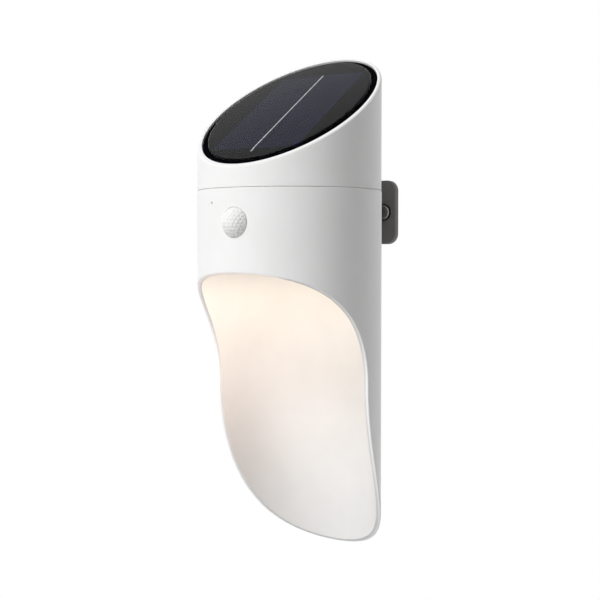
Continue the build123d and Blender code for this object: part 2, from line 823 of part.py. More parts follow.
with BuildPart() as diffuser:
    with BuildSketch(level(flange_floor)):
        Circle(lamp_flange_radius)
        with PolarLocations(stake_circle, stake_count):
            Circle(stake_radius + stake_clearance, mode=Mode.SUBTRACT)
    extrude(amount=diffuser_flange_thickness)
    with BuildSketch(level(ceiling - diffuser_proud)):
        Circle(window_radius)
    extrude(amount=flange_floor - ceiling + diffuser_proud)
    fillet(diffuser.edges().group_by(Axis.Z)[0], diffuser_round)
    with BuildSketch(level(ceiling - diffuser_proud + diffuser_floor)):
        Circle(window_radius - diffuser_wall)
    extrude(amount=board_floor - ceiling + diffuser_proud - diffuser_floor, mode=Mode.SUBTRACT)
save("diffuser", diffuser)

with BuildPart() as led_board:
    with BuildSketch(level(board_floor)):
        Circle(lamp_flange_radius)
        with PolarLocations(stake_circle, stake_count):
            Circle(stake_radius + stake_clearance, mode=Mode.SUBTRACT)
    extrude(amount=lamp_board_thickness)
save("led_board", led_board)

with BuildPart() as led_chips:
    with BuildSketch(level(board_floor)):
        with PolarLocations(chip_ring_radius, chip_count):
            Rectangle(chip_length, chip_width)
    extrude(amount=-chip_height)
save("led_chips", led_chips)

# Mode button: cap through the ceiling, flange over its seal, and a stem up into the switch
flange_bottom = bay_floor + seal_ring_thickness + button_rest_gap
flange_top = flange_bottom + button_flange_thickness
switch_bottom = flange_top + button_travel + switch_gap
stem_top = switch_bottom + stem_entry
with BuildPart() as mode_button:
    with BuildSketch(level(ceiling - button_proud)):
        with Locations((0, button_offset)):
            Circle(button_radius)
    extrude(amount=flange_bottom - ceiling + button_proud)
    fillet(mode_button.edges().group_by(Axis.Z)[0], button_round)
    with BuildSketch(level(flange_bottom)):
        with Locations((0, button_offset)):
            Circle(button_flange_radius)
    extrude(amount=button_flange_thickness)
    with BuildSketch(level(flange_top)):
        with Locations((0, button_offset)):
            Circle(stem_radius)
    extrude(amount=stem_top - flange_top)
save("mode_button", mode_button)

with BuildPart() as button_seal:
    with BuildSketch(level(bay_floor)):
        with Locations((0, button_offset)):
            Circle(seal_ring_radius)
            Circle(button_radius + button_clearance, mode=Mode.SUBTRACT)
    extrude(amount=seal_ring_thickness)
save("button_seal", button_seal)

switch_board_floor = deck_bottom - switch_board_thickness
with BuildPart() as switch_body:
    with BuildSketch(level(switch_bottom)):
        with Locations((0, button_offset)):
            Rectangle(switch_width, switch_width)
    extrude(amount=switch_board_floor - switch_bottom)
    with BuildSketch(level(switch_bottom)):
        with Locations((0, button_offset)):
            Circle(stem_radius + button_clearance)
    extrude(amount=stem_entry + button_travel + button_rest_gap, mode=Mode.SUBTRACT)
save("switch_body", switch_body)

with BuildPart() as switch_board:
    with BuildSketch(level(switch_board_floor)):
        with Locations((0, button_offset)):
            Rectangle(switch_board_width, switch_board_depth)
    extrude(amount=switch_board_thickness)
save("switch_board", switch_board)

# Wires: pairs of leads from the panel, the battery, the lamp and the switch to the board's connectors
plug_entry = axis_y - board_back + plug_depth
plug_height_middle = board_middle + plug_rise
panel_under = rim.offset(panel_board_floor)
panel_plug, battery_plug, lamp_plug, switch_plug = plug_places
panel_start = panel_under.from_local_coords(Vector(panel_plug, -panel_wire_offset, 0))
panel_route = [
    panel_start,
    panel_start - rim.z_dir * panel_wire_drop,
    Vector(panel_plug, axis_y - 8, 14),
    Vector(panel_plug, plug_entry + plug_run, plug_height_middle),
    Vector(panel_plug, plug_entry, plug_height_middle),
]
lamp_route = [
    Vector(lamp_plug, axis_y + lamp_wire_offset, stake_seat),
    Vector(lamp_plug, axis_y + lamp_wire_offset, plug_height_middle),
    Vector(lamp_plug, plug_entry, plug_height_middle),
]
switch_route = [
    Vector(switch_wire_side, axis_y + switch_wire_offset, deck_bottom),
    Vector(switch_wire_side, axis_y + switch_wire_offset, 9),
    Vector(switch_plug, axis_y, 13),
    Vector(switch_plug, axis_y - 11, 10),
    Vector(switch_plug, plug_entry + plug_run, plug_height_middle),
    Vector(switch_plug, plug_entry, plug_height_middle),
]
contact_side = (cradle_inside - contact_thickness) / 2
contact_top = battery_axis + contact_height / 2


def corner_radii(route):
    """Bend radii of a lead: each arc takes up most of the shorter run beside it."""
    radii = []
    for before, corner, after in zip(route, route[1:], route[2:]):
        arriving = corner - before
        leaving = after - corner
        turn = radians(arriving.get_angle(leaving))
        radii.append(0.45 * min(arriving.length, leaving.length) / tan(turn / 2))
    return radii


def shifted(route, shift):
    """The same route, moved sideways."""
    return [point + Vector(shift, 0, 0) for point in route]


def build_lead(name, routes):
    """A lead's wires, one along each route."""
    with BuildPart() as lead:
        for route in routes:
            with BuildLine() as path:
                FilletPolyline(*route, radius=corner_radii(route))
            with BuildSketch(Plane(origin=route[0], z_dir=route[1] - route[0])):
                Circle(wire_radius)
            sweep(path=path.line)
    save(name, lead)


pair = (-wire_pitch / 2, wire_pitch / 2)
build_lead("panel_lead", [shifted(panel_route, shift) for shift in pair])
build_lead("lamp_lead", [shifted(lamp_route, shift) for shift in pair])
build_lead("switch_lead", [shifted(switch_route, shift) for shift in pair])
build_lead(
    "battery_lead",
    [
        [
            Vector(end * contact_side, cell_y, contact_top),
            Vector(end * contact_side, cell_y, contact_top + battery_wire_rise),
            Vector(battery_plug + shift, cell_y - 3, contact_top + battery_wire_rise),
            Vector(battery_plug + shift, plug_entry + plug_run, plug_height_middle),
            Vector(battery_plug + shift, plug_entry, plug_height_middle),
        ]
        for end, shift in zip((-1, 1), pair)
    ],
)
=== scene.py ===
import math

import bpy
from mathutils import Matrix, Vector


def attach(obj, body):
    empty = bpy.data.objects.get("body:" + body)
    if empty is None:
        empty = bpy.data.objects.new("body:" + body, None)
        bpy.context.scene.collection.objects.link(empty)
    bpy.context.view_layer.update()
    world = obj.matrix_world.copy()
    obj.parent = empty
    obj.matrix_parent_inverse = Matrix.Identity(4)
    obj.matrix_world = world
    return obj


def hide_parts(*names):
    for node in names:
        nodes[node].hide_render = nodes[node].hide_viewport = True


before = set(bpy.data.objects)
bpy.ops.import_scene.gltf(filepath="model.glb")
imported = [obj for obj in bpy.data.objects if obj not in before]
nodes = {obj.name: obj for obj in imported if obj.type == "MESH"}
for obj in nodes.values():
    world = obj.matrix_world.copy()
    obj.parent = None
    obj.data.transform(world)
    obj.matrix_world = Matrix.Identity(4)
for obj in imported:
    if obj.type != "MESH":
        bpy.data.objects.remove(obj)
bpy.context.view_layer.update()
scene = bpy.context.scene
scene.view_settings.view_transform = "Standard"

MM = 0.001

# Places and sizes that the CAD has too, in millimetres, and the panel's slant
AXIS_Y = -56.0
SLANT = math.radians(34.2)
SENSOR_HEIGHT = -7.2
DOME_APEX = -110.6
DOME_HEIGHT = 4.8
LENS_RADIUS = 7.8
LENS_SKIN = 0.8
LENS_SEAT = -100.5
FLANGE_RADIUS = 10.2
FLANGE_THICKNESS = 1.2
DOME_RADIUS = (LENS_RADIUS**2 + DOME_HEIGHT**2) / (2 * DOME_HEIGHT)
LAMP_FACE = -28.0
RIM_MIDDLE = 55.05
COVER_SINK = -1.1
COVER_FLOOR = RIM_MIDDLE * math.cos(SLANT) - AXIS_Y * math.sin(SLANT) + COVER_SINK
WAFER_SIDE = 27.4
WAFER_END = 40.1
RIBBON_END = 39.8
SCREW_SIDE = 28.0
SCREW_RADIUS = 2.0
TIP_START = 6.5
TIP_LENGTH = 4.0
TIP_TAPER = 1.5

# Lens: its facets, and the shell under them
FACET_PITCH = 2.35
FACET_ROWS = 6
FACET_COLUMNS = 9
FACET_RINGS = ((0.45, 0.03), (0.75, 0.11), (0.9, 0.2), (1.0, 0.34))  # share of the facet, and sink
FACET_LEAST_AREA = 0.3
FACET_FADE = 0.7
ROUND_SIDES = 72
SHELL_SINK = 0.4
SHELL_STEPS = 12
SHELL_INNER_SHARE = 0.97
SKIRT_START = 0.15  # behind the dome's edge

# Wafer and ribbon
WAFER_CLIP = 1.2
WAFER_LAYERS = ((1.0, 0.0), (1.0, 0.2), (0.997, 0.26))  # share of the outline, and height
RIBBON_TAIL = 3.6
RIBBON_STEPS = 200
RIBBON_BASE = 0.25
RIBBON_DROP = 0.2
RIBBON_DROP_LENGTH = 0.5
RIBBON_HALF = 0.42
RIBBON_HALF_WAVER = 0.1
RIBBON_CROWN = 0.36
RIBBON_CROWN_WAVER = 0.07
RIBBON_FLAT_SHARE = 0.6
FAST_WAVER = 1.7  # radians for each millimetre, as in the next two
SLOW_WAVER = 0.61
CROWN_WAVER = 2.3
SLOW_WAVER_SHIFT = 1.0
CROWN_WAVER_SHIFT = 0.4

# Threads of the wall screws
THREAD_START = 0.6
THREAD_END = 9.9
THREAD_PITCH = 1.5
THREAD_STEPS = 28  # in each turn
THREAD_LIFT = 0.42
THREAD_LEAST_LIFT = 0.001
THREAD_ROOT_SINK = 0.05
THREAD_HALF = 0.32  # half the width of the ridge's foot
THREAD_RISE = 0.8
THREAD_FADE = 1.2

# Materials: sizes of their patterns, and where they change, in millimetres
CLOUD = 14.0
GRAIN = 0.45
FINGER_PITCH = 2.0
WAVE_RATE = 20  # radians that the wave texture turns for each unit of its coordinate
# Inside this reach from the tube's axis the housing gets a darker white: painted shade for the
# scoop's inside
PAINTED_SHADE_WITHIN = 48.2  # from the tube's axis, and the next one too
SATIN_BEYOND = 49.0
GLOSS_START = 0.6  # above the cover's floor, and the next one too
GLOSS_FULL = 0.7


# Camera, fitted to the photograph
def aim(azimuth, elevation):
    """Direction from the object, by its angle from the front towards +X and its height."""
    flat = math.cos(elevation)
    return Vector((flat * math.sin(azimuth), -flat * math.cos(azimuth), math.sin(elevation)))


CAMERA_AZIMUTH = math.radians(34.72)
CAMERA_TURN = math.radians(0.499)
CAMERA_PITCH = math.radians(2.411)
CAMERA_HEIGHT = -21.2
CAMERA_DISTANCE = 0.65  # metres
camera_data = bpy.data.cameras.new("camera")
camera_data.sensor_width = 36.0
camera_data.lens = 71.54
camera_data.clip_start = 0.01
camera_data.clip_end = 50.0
camera = bpy.data.objects.new("camera", camera_data)
scene.collection.objects.link(camera)
camera_middle = Vector((0, AXIS_Y, CAMERA_HEIGHT)) * MM
camera.location = camera_middle + aim(CAMERA_AZIMUTH, 0) * CAMERA_DISTANCE
camera_sight = -aim(CAMERA_AZIMUTH - CAMERA_TURN, CAMERA_PITCH)
camera.rotation_euler = camera_sight.to_track_quat("-Z", "Y").to_euler()
scene.camera = camera


# Node helpers
def blank_material(name):
    """Material with one Principled shader, and its node tree, shader and coordinates."""
    made = bpy.data.materials.new(name)
    made.use_nodes = True
    tree = made.node_tree
    shader = tree.nodes["Principled BSDF"]
    place = tree.nodes.new("ShaderNodeTexCoord")
    return made, tree, shader, place.outputs["Object"]


def noise(tree, place, size, detail=3.0):
    """Noise whose lumps are about this many millimetres across."""
    node = tree.nodes.new("ShaderNodeTexNoise")
    node.inputs["Scale"].default_value = 1.0 / (size * MM)
    node.inputs["Detail"].default_value = detail
    node.inputs["Roughness"].default_value = 0.5
    tree.links.new(place, node.inputs["Vector"])
    return node.outputs["Fac"]


def ramp(tree, source, low, high, start=0.3, end=0.7):
    """Number from low to high as the source goes from start to end."""
    node = tree.nodes.new("ShaderNodeMapRange")
    node.inputs["From Min"].default_value = start
    node.inputs["From Max"].default_value = end
    node.inputs["To Min"].default_value = low
    node.inputs["To Max"].default_value = high
    tree.links.new(source, node.inputs["Value"])
    return node.outputs["Result"]


def tint(tree, share, first, second):
    """Colour between the first and the second."""
    node = tree.nodes.new("ShaderNodeMix")
    node.data_type = "RGBA"
    node.inputs["A"].default_value = (*first, 1)
    node.inputs["B"].default_value = (*second, 1)
    tree.links.new(share, node.inputs["Factor"])
    return node.outputs["Result"]


def bump(tree, shader, height, depth):
    """Relief of this depth in millimetres."""
    node = tree.nodes.new("ShaderNodeBump")
    node.inputs["Strength"].default_value = 1.0
    node.inputs["Distance"].default_value = depth * MM
    tree.links.new(height, node.inputs["Height"])
    tree.links.new(node.outputs["Normal"], shader.inputs["Normal"])


def along_slant(tree, place, scale=(1, 1, 1)):
    """Coordinates turned so that Y runs up the slanted panel and Z stands square to it."""
    node = tree.nodes.new("ShaderNodeMapping")
    node.inputs["Rotation"].default_value = (-SLANT, 0, 0)
    node.inputs["Scale"].default_value = scale
    tree.links.new(place, node.inputs["Vector"])
    return node.outputs["Vector"]


def any_ray(tree, kinds):
    """Number that is 1 for a ray of any of these kinds, and 0 for others."""
    path = tree.nodes.new("ShaderNodeLightPath")
    found = path.outputs[kinds[0]]
    for kind in kinds[1:]:
        node = tree.nodes.new("ShaderNodeMath")
        node.operation = "MAXIMUM"
        tree.links.new(found, node.inputs[0])
        tree.links.new(path.outputs[kind], node.inputs[1])
        found = node.outputs["Value"]
    return found


def grey(value):
    """Even grey."""
    return (value, value, value)


# Kinds of material
SATIN_WHITE = ((0.845, 0.845, 0.84), (0.865, 0.865, 0.862))
# Darker copy of the satin white for the tube's inner face: painted shade, standing in for the
# shade inside the scoop
SHADED_INNER_WHITE = ((0.62, 0.62, 0.617), (0.64, 0.64, 0.637))
SATIN_ROUGH = (0.40, 0.48)
SATIN_RELIEF = 0.012


def moulded(name, first, second, rough, lump=CLOUD, relief=0.02, metallic=0.0):
    """Moulded or machined surface: cloudy colour, uneven gloss and a fine grain."""
    made, tree, shader, place = blank_material(name)
    shader.inputs["Metallic"].default_value = metallic
    cloud = ramp(tree, noise(tree, place, lump), 0, 1)
    fine = noise(tree, place, GRAIN, detail=2.0)
    tree.links.new(tint(tree, cloud, first, second), shader.inputs["Base Color"])
    tree.links.new(ramp(tree, fine, *rough), shader.inputs["Roughness"])
    bump(tree, shader, fine, relief)
    return made


def housing_material():
    """White moulding, satin outside, with a darker white painted on the inner face of the tube as
    painted shade for the inside of the scoop.
    """
    made, tree, shader, place = blank_material("housing_plastic")
    spread = tree.nodes.new("ShaderNodeMapping")
    spread.inputs["Location"].default_value = (0, -AXIS_Y * MM, 0)
    spread.inputs["Scale"].default_value = (1, 1, 0)
    tree.links.new(place, spread.inputs["Vector"])
    reach = tree.nodes.new("ShaderNodeVectorMath")
    reach.operation = "LENGTH"
    tree.links.new(spread.outputs["Vector"], reach.inputs[0])
    outside = ramp(tree, reach.outputs["Value"], 0, 1, PAINTED_SHADE_WITHIN * MM, SATIN_BEYOND * MM)
    cloud = ramp(tree, noise(tree, place, CLOUD), 0, 1)
    fine = noise(tree, place, GRAIN, detail=2.0)
    skin = tree.nodes.new("ShaderNodeMix")
    skin.data_type = "RGBA"
    tree.links.new(outside, skin.inputs["Factor"])
    tree.links.new(tint(tree, cloud, *SHADED_INNER_WHITE), skin.inputs["A"])
    tree.links.new(tint(tree, cloud, *SATIN_WHITE), skin.inputs["B"])
    tree.links.new(skin.outputs["Result"], shader.inputs["Base Color"])
    tree.links.new(ramp(tree, fine, *SATIN_ROUGH), shader.inputs["Roughness"])
    bump(tree, shader, fine, SATIN_RELIEF)
    return made


def wafer_material():
    """Dark blue silicon with fine contact fingers across it."""
    made, tree, shader, place = blank_material("wafer")
    fingers = tree.nodes.new("ShaderNodeTexWave")
    fingers.wave_type = "BANDS"
    fingers.bands_direction = "Y"
    fingers.inputs["Scale"].default_value = math.tau / (WAVE_RATE * FINGER_PITCH * MM)
    tree.links.new(along_slant(tree, place), fingers.inputs["Vector"])
    cloud = noise(tree, place, 9.0)
    silicon = tint(tree, ramp(tree, cloud, 0, 1), (0.009, 0.0095, 0.027), (0.012, 0.0125, 0.032))
    lines = tree.nodes.new("ShaderNodeMix")
    lines.data_type = "RGBA"
    lines.inputs["B"].default_value = (0.03, 0.031, 0.04, 1)
    tree.links.new(ramp(tree, fingers.outputs["Fac"], 0, 0.5, 0.93, 1.0), lines.inputs["Factor"])
    tree.links.new(silicon, lines.inputs["A"])
    tree.links.new(lines.outputs["Result"], shader.inputs["Base Color"])
    tree.links.new(ramp(tree, cloud, 0.35, 0.45), shader.inputs["Roughness"])
    shader.inputs["Specular IOR Level"].default_value = 0.0
    return made


def clear_material():
    """Clear cover bonded to the wafer: it hardly bends light, and only its outside is glossy."""
    made, tree, shader, place = blank_material("clear_resin")
    shader.inputs["Transmission Weight"].default_value = 1.0
    shader.inputs["IOR"].default_value = 1.01
    shader.inputs["Coat IOR"].default_value = 1.115
    parts = tree.nodes.new("ShaderNodeSeparateXYZ")
    tree.links.new(along_slant(tree, place), parts.inputs["Vector"])
    start = (COVER_FLOOR + GLOSS_START) * MM
    full = (COVER_FLOOR + GLOSS_FULL) * MM
    tree.links.new(ramp(tree, parts.outputs["Z"], 0, 1, start, full), shader.inputs["Coat Weight"])
    wavy = noise(tree, place, 18.0, detail=1.0)
    colour = tint(tree, wavy, (0.94, 0.94, 0.95), (0.98, 0.98, 0.98))
    tree.links.new(colour, shader.inputs["Base Color"])
    tree.links.new(ramp(tree, wavy, 0.01, 0.03), shader.inputs["Roughness"])
    tree.links.new(ramp(tree, wavy, 0.015, 0.03), shader.inputs["Coat Roughness"])
    bump(tree, shader, wavy, 0.004)
    return made


def ribbon_material():
    """Tinned copper with streaks of solder along it."""
    made, tree, shader, place = blank_material("tinned_ribbon")
    streaks = noise(tree, along_slant(tree, place, (1, 0.12, 1)), 0.5)
    solder = tint(tree, ramp(tree, streaks, 0, 1), (0.2, 0.2, 0.21), (0.92, 0.92, 0.93))
    tree.links.new(solder, shader.inputs["Base Color"])
    tree.links.new(ramp(tree, streaks, 0.35, 0.55), shader.inputs["Roughness"])
    shader.inputs["Metallic"].default_value = 0.6
    bump(tree, shader, streaks, 0.03)
    return made


def glowing_material(name, first, second, glow, strength):
    """Opal plastic or phosphor that gives off light."""
    made = moulded(name, first, second, (0.4, 0.5), lump=6.0)
    shader = made.node_tree.nodes["Principled BSDF"]
    shader.inputs["Emission Color"].default_value = (*glow, 1)
    shader.inputs["Emission Strength"].default_value = strength
    return made


# Materials: two colours, the range of roughness, and what differs from the usual moulding
METAL = {"lump": 2.0, "metallic": 1.0}
WIRE = {"lump": 3.0}
WIRE_ROUGH = (0.35, 0.48)
SURFACES = {
    "white_plastic": (*SATIN_WHITE, SATIN_ROUGH, {"relief": SATIN_RELIEF}),
    "bracket_plastic": (
        (0.165, 0.161, 0.156),
        (0.19, 0.186, 0.18),
        (0.48, 0.62),
        {"relief": 0.03},
    ),
    "dark_screw": ((0.22, 0.215, 0.21), (0.3, 0.29, 0.28), (0.22, 0.34), METAL),
    "bright_screw": ((0.52, 0.52, 0.51), (0.62, 0.62, 0.6), (0.25, 0.4), METAL),
    "seal_rubber": (grey(0.035), grey(0.05), (0.65, 0.8), {"lump": 4.0, "relief": 0.03}),
    "black_plastic": (grey(0.02), grey(0.032), (0.4, 0.55), {}),
    "sensor_can": ((0.55, 0.54, 0.5), (0.64, 0.63, 0.6), (0.22, 0.34), METAL),
    "green_board": (
        (0.02, 0.12, 0.045),
        (0.03, 0.16, 0.06),
        (0.32, 0.45),
        {"lump": 3.0, "relief": 0.03},
    ),
    "white_board": ((0.76, 0.76, 0.74), (0.8, 0.8, 0.78), (0.4, 0.5), {"lump": 3.0}),
    "contact_metal": ((0.56, 0.54, 0.47), (0.64, 0.62, 0.55), (0.25, 0.38), METAL),
    "battery_sleeve": ((0.06, 0.16, 0.3), (0.08, 0.2, 0.36), (0.28, 0.36), {"lump": 8.0}),
    "button_rubber": (grey(0.1), grey(0.125), (0.6, 0.72), {"lump": 2.0}),
    "red_wire": ((0.4, 0.015, 0.015), (0.46, 0.022, 0.02), WIRE_ROUGH, WIRE),
    "white_wire": ((0.72, 0.72, 0.7), (0.78, 0.78, 0.76), WIRE_ROUGH, WIRE),
    "black_wire": (grey(0.015), grey(0.025), WIRE_ROUGH, WIRE),
    "milky_pipe": (grey(0.5), grey(0.56), (0.3, 0.4), {"lump": 1.0}),
    "lens_plastic": (
        (0.83, 0.83, 0.82),
        (0.85, 0.85, 0.845),
        (0.34, 0.42),
        {"lump": 5.0, "relief": 0.004},
    ),
    "board_black": ((0.002, 0.002, 0.003), (0.003, 0.003, 0.004), (0.5, 0.6), {"lump": 5.0}),
}
materials = {}
for name, (first, second, rough, rest) in SURFACES.items():
    materials[name] = moulded(name, first, second, rough, **rest)
matt_shader = materials["board_black"].node_tree.nodes["Principled BSDF"]
matt_shader.inputs["Specular IOR Level"].default_value = 0.0
materials["housing_plastic"] = housing_material()
materials["wafer"] = wafer_material()
materials["clear_resin"] = clear_material()
materials["tinned_ribbon"] = ribbon_material()
materials["opal"] = glowing_material(
    "opal", (0.52, 0.5, 0.46), (0.56, 0.54, 0.5), (1.0, 0.83, 0.6), 0.42
)
materials["phosphor"] = glowing_material(
    "phosphor", (0.85, 0.6, 0.2), (0.9, 0.68, 0.25), (1.0, 0.75, 0.4), 1.0
)

FINISHES = {
    "wall_bracket": "bracket_plastic",
    "wall_screws": "dark_screw",
    "main_housing": "housing_plastic",
    "solar_head": "white_plastic",
    "seam_seal": "seal_rubber",
    "head_screws": "bright_screw",
    "panel_gasket": "seal_rubber",
    "panel_board": "board_black",
    "solar_cell": "wafer",
    "cell_ribbon": "tinned_ribbon",
    "panel_cover": "clear_resin",
    "pir_lens": "lens_plastic",
    "sensor_collar": "black_plastic",
    "pir_sensor": "sensor_can",
    "light_pipe": "milky_pipe",
    "control_board": "green_board",
    "board_parts": "black_plastic",
    "inner_deck": "black_plastic",
    "deck_screws": "bright_screw",
    "battery_holder": "black_plastic",
    "battery_cell": "battery_sleeve",
    "battery_contacts": "contact_metal",
    "diffuser_gasket": "seal_rubber",
    "diffuser": "opal",
    "led_board": "white_board",
    "led_chips": "phosphor",
    "mode_button": "button_rubber",
    "button_seal": "seal_rubber",
    "switch_body": "black_plastic",
    "switch_board": "green_board",
    "panel_lead": "red_wire",
    "lamp_lead": "white_wire",
    "switch_lead": "black_wire",
    "battery_lead": "red_wire",
}
for name, finish in FINISHES.items():
    nodes[name].data.materials.clear()
    nodes[name].data.materials.append(materials[finish])


# Pieces made here
def add_piece(name, points, faces, slot, body, smooth):
    """New mesh piece from points in millimetres, in its slot's material, riding on a body."""
    mesh = bpy.data.meshes.new(name)
    mesh.from_pydata([Vector(point) * MM for point in points], [], faces)
    mesh.update()
    mesh.polygons.foreach_set("use_smooth", smooth)
    mesh.materials.append(materials[slot])
    piece = bpy.data.objects.new(name, mesh)
    scene.collection.objects.link(piece)
    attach(piece, body)
    return piece


def between(first, second, share):
    """Flat point on the way from the first to the second."""
    return (first[0] + share * (second[0] - first[0]), first[1] + share * (second[1] - first[1]))


def clip_to_circle(corners, limit):
    """Convex polygon cut back to a circle round the origin."""
    for step in range(ROUND_SIDES):
        angle = math.tau * step / ROUND_SIDES
        outward = (math.cos(angle), math.sin(angle))
        kept = []
        for here, after in zip(corners, corners[1:] + corners[:1]):
            depth = limit - here[0] * outward[0] - here[1] * outward[1]
            depth_after = limit - after[0] * outward[0] - after[1] * outward[1]
            if depth >= 0:
                kept.append(here)
            if depth * depth_after < 0:
                kept.append(between(here, after, depth / (depth - depth_after)))
        corners = kept
        if len(corners) < 3:
            return []
    return corners


def area(corners):
    """Area of a flat polygon."""
    total = 0.0
    for here, after in zip(corners, corners[1:] + corners[:1]):
        total += here[0] * after[1] - after[0] * here[1]
    return total / 2


def on_dome(spot, sink):
    """Point of the lens dome, from its place on the unrolled dome, sunk by this much."""
    reach = math.hypot(*spot)
    bend = reach / DOME_RADIUS
    radius = DOME_RADIUS - sink
    across = radius * math.sin(bend) / reach if reach > 1e-9 else 0.0
    depth = DOME_APEX + DOME_RADIUS - radius * math.cos(bend)
    return (across * spot[0], depth, SENSOR_HEIGHT + across * spot[1])


def add_facet(points, faces, cell, edge):
    """One bulging facet of the lens, whose sink fades out towards the dome's edge."""
    count = len(cell)
    heart = (sum(c[0] for c in cell) / count, sum(c[1] for c in cell) / count)
    first = len(points)
    points.append(on_dome(heart, 0.0))
    for share, sink in FACET_RINGS:
        for corner in cell:
            spot = between(heart, corner, share)
            inside = min(1.0, max(0.0, (edge - math.hypot(*spot)) / FACET_FADE))
            points.append(on_dome(spot, sink * inside))
    for corner in range(count):
        after = (corner + 1) % count
        faces.append((first, first + 1 + corner, first + 1 + after))
        for ring in range(len(FACET_RINGS) - 1):
            inner = first + 1 + ring * count
            outer = inner + count
            faces.append((inner + corner, outer + corner, outer + after, inner + after))


def shell_profile(edge):
    """Radius and depth along the lens's shell, from its tip round the flange and back inside."""
    base = DOME_APEX + DOME_HEIGHT
    bore = LENS_RADIUS - LENS_SKIN
    flange_back = LENS_SEAT + FLANGE_THICKNESS
    profile = []
    for step in range(1, SHELL_STEPS + 1):
        spot = on_dome((step / SHELL_STEPS * edge, 0.0), SHELL_SINK)
        profile.append((spot[0], spot[1]))
    profile.append((LENS_RADIUS, base + SKIRT_START))
    profile.append((LENS_RADIUS, LENS_SEAT))
    profile.append((FLANGE_RADIUS, LENS_SEAT))
    profile.append((FLANGE_RADIUS, flange_back))
    profile.append((bore, flange_back))
    profile.append((bore, base))
    for step in range(SHELL_STEPS - 1, 0, -1):
        spot = on_dome((step / SHELL_STEPS * edge, 0.0), LENS_SKIN)
        profile.append((spot[0] * SHELL_INNER_SHARE, spot[1]))
    return profile


def add_shell(points, faces, edge):
    """Closed shell under the facets, with the lens's skirt and flange."""
    profile = shell_profile(edge)
    tip = len(points)
    points.append(on_dome((0.0, 0.0), SHELL_SINK))
    first = len(points)
    for radius, depth in profile:
        for step in range(ROUND_SIDES):
            angle = math.tau * step / ROUND_SIDES
            height = SENSOR_HEIGHT + radius * math.sin(angle)
            points.append((radius * math.cos(angle), depth, height))
    heel = len(points)
    points.append(on_dome((0.0, 0.0), LENS_SKIN))
    last = first + (len(profile) - 1) * ROUND_SIDES
    for step in range(ROUND_SIDES):
        after = (step + 1) % ROUND_SIDES
        faces.append((tip, first + step, first + after))
        for start in range(first, last, ROUND_SIDES):
            end = start + ROUND_SIDES
            faces.append((start + step, end + step, end + after, start + after))
        faces.append((last + step, heel, last + after))


def build_lens():
    """Sensor lens: honeycomb of small bulging facets on a dome, with its skirt and flange."""
    points = []
    faces = []
    edge = DOME_RADIUS * math.asin(LENS_RADIUS / DOME_RADIUS)
    side = FACET_PITCH / math.sqrt(3)
    turns = [math.radians(30 + 60 * corner) for corner in range(6)]
    for row in range(-FACET_ROWS, FACET_ROWS + 1):
        for column in range(-FACET_COLUMNS, FACET_COLUMNS + 1):
            middle_x = FACET_PITCH * (column + row / 2)
            middle_y = FACET_PITCH * row * math.sqrt(3) / 2
            cell = [(middle_x + side * math.cos(t), middle_y + side * math.sin(t)) for t in turns]
            cell = clip_to_circle(cell, edge)
            if cell and area(cell) >= FACET_LEAST_AREA:
                add_facet(points, faces, cell, edge)
    smooth = [True] * len(faces)
    add_shell(points, faces, edge)
    smooth.extend([False] * (len(faces) - len(smooth)))
    piece = add_piece("faceted_lens", points, faces, "lens_plastic", "lamp", smooth)
    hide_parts("pir_lens")


def on_panel(side, along, height):
    """Point on the slanted panel: to the side, up the slope, and above the rim."""
    depth = AXIS_Y + along * math.cos(SLANT) - height * math.sin(SLANT)
    return (side, depth, RIM_MIDDLE + along * math.sin(SLANT) + height * math.cos(SLANT))


def build_wafer():
    """Wafer with clipped corners and bevelled edges, a hair under the cover's pocket."""
    corners = []
    for side, along in ((1, 1), (-1, 1), (-1, -1), (1, -1)):
        on_side = (WAFER_SIDE * side, (WAFER_END - WAFER_CLIP) * along)
        on_end = ((WAFER_SIDE - WAFER_CLIP) * side, WAFER_END * along)
        corners.extend((on_side, on_end) if side * along > 0 else (on_end, on_side))
    count = len(corners)
    points = []
    for share, height in WAFER_LAYERS:
        for side, along in corners:
            points.append(on_panel(share * side, share * along, COVER_SINK + height))
    faces = [tuple(reversed(range(count))), tuple(range(2 * count, 3 * count))]
    for ring in (0, count):
        upper = ring + count
        for corner in range(count):
            after = (corner + 1) % count
            faces.append((ring + corner, ring + after, upper + after, upper + corner))
    smooth = [False] * len(faces)
    piece = add_piece("clipped_wafer", points, faces, "wafer", "lamp", smooth)
    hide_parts("solar_cell")


def build_ribbon():
    """Soldered ribbon: a crowned strip that wavers, and steps down past the wafer's lower end."""
    points = []
    faces = []
    length = 2 * RIBBON_END + RIBBON_TAIL
    for step in range(RIBBON_STEPS + 1):
        along = RIBBON_END - length * (1 - step / RIBBON_STEPS)
        fallen = min(1.0, max(0.0, (-WAFER_END - along) / RIBBON_DROP_LENGTH))
        drop = RIBBON_DROP * fallen
        waver = math.sin(FAST_WAVER * along) * math.sin(SLOW_WAVER * along + SLOW_WAVER_SHIFT)
        half = RIBBON_HALF + RIBBON_HALF_WAVER * waver
        flat = RIBBON_FLAT_SHARE * half
        crown_waver = math.sin(CROWN_WAVER * along + CROWN_WAVER_SHIFT)
        crown = RIBBON_CROWN + RIBBON_CROWN_WAVER * crown_waver
        outline = ((-half, RIBBON_BASE), (-flat, crown), (flat, crown), (half, RIBBON_BASE))
        for side, height in outline:
            points.append(on_panel(side, along, COVER_SINK + height - drop))
    for step in range(RIBBON_STEPS):
        here = 4 * step
        for edge in range(4):
            after = (edge + 1) % 4
            faces.append((here + edge, here + after, here + 4 + after, here + 4 + edge))
    last = 4 * RIBBON_STEPS
    faces.append((3, 2, 1, 0))
    faces.append((last, last + 1, last + 2, last + 3))
    smooth = [False] * len(faces)
    piece = add_piece("soldered_ribbon", points, faces, "tinned_ribbon", "lamp", smooth)
    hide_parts("cell_ribbon")


